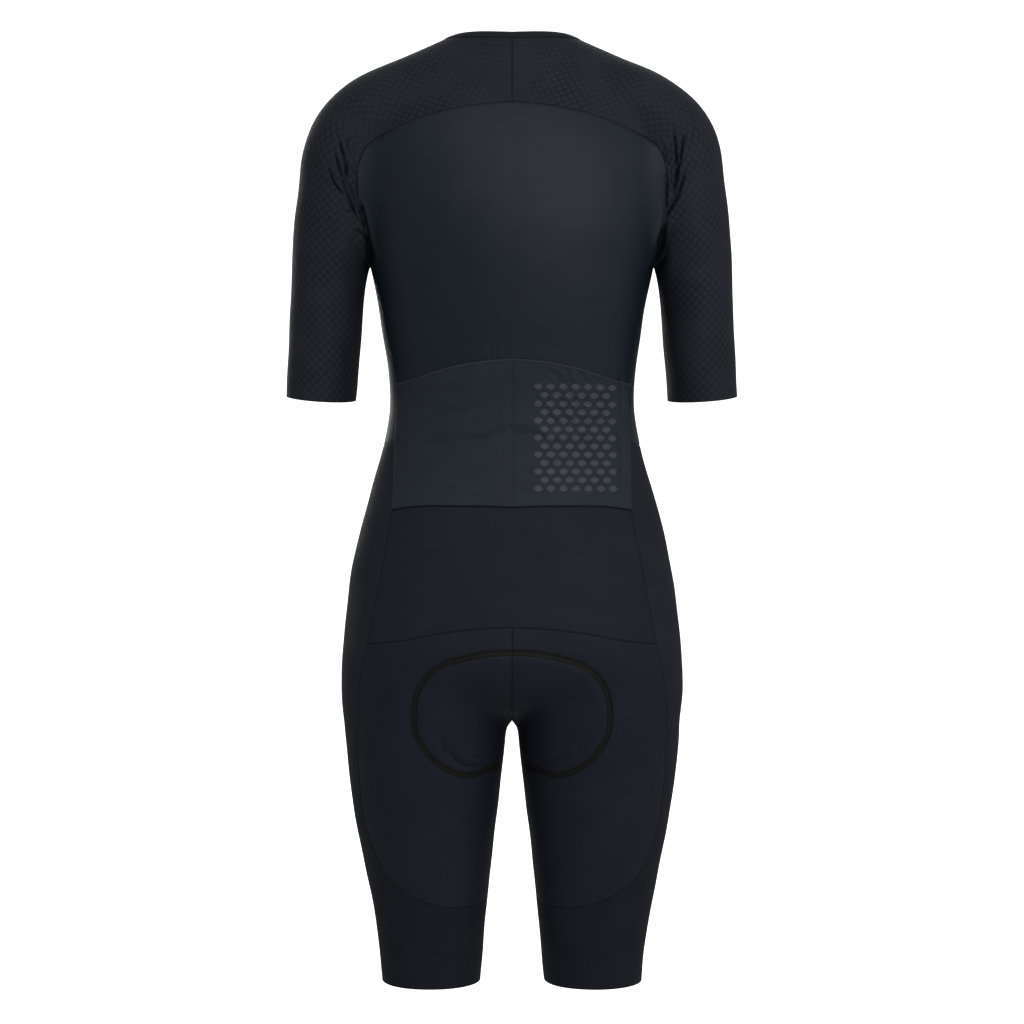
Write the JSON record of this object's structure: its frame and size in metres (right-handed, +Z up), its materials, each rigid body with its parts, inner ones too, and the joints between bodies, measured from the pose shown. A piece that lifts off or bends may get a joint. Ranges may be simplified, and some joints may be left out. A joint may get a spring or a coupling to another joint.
{
  "type": "roadsuit",
  "caption": "Women's-cut short-sleeved one-piece cycling suit, knee length, filled out as worn, with a front zip, raglan sleeves and a back pocket panel.",
  "frame": {"origin": "the middle of the neck opening at the height of its back seam, where the wearer's neck and shoulders carry the suit", "axes": "+Z up, -Y towards the wearer's front, +X towards the wearer's left"},
  "size_m": [0.442, 0.2346, 0.9136],
  "materials": {
    "smooth_knit": "smooth black knit with a slight slate sheen",
    "pocket_knit": "firm black knit with a soft sheen",
    "dark_knit": "smooth navy-black knit",
    "side_knit": "smooth black knit",
    "dimpled_knit": "black knit with a fine lattice of dimples",
    "neck_binding": "matt dark green-black binding",
    "zip_black": "black moulded teeth on a black tape",
    "slider_metal": "black lacquered metal"
  },
  "bodies": {
    "suit": {"back_panel": "smooth_knit", "front_left": "smooth_knit", "front_right": "smooth_knit", "pocket_panel": "pocket_knit", "lower_back": "dark_knit", "seat_left": "dark_knit", "seat_right": "dark_knit", "side_left": "side_knit", "side_right": "side_knit", "sleeve_left": "dimpled_knit", "sleeve_right": "dimpled_knit", "neckband": "neck_binding", "zip_chain": "zip_black", "zip_slider": "slider_metal"},
    "pull": {"zip_pull": "slider_metal"}
  },
  "joints": [
    {"name": "pull_turn", "type": "hinge", "parent": "suit", "child": "pull", "pos_m": [0, -0.05583, -0.03656], "axis": [-1, 0, 0], "range_deg": [0, 170]}
  ]
}
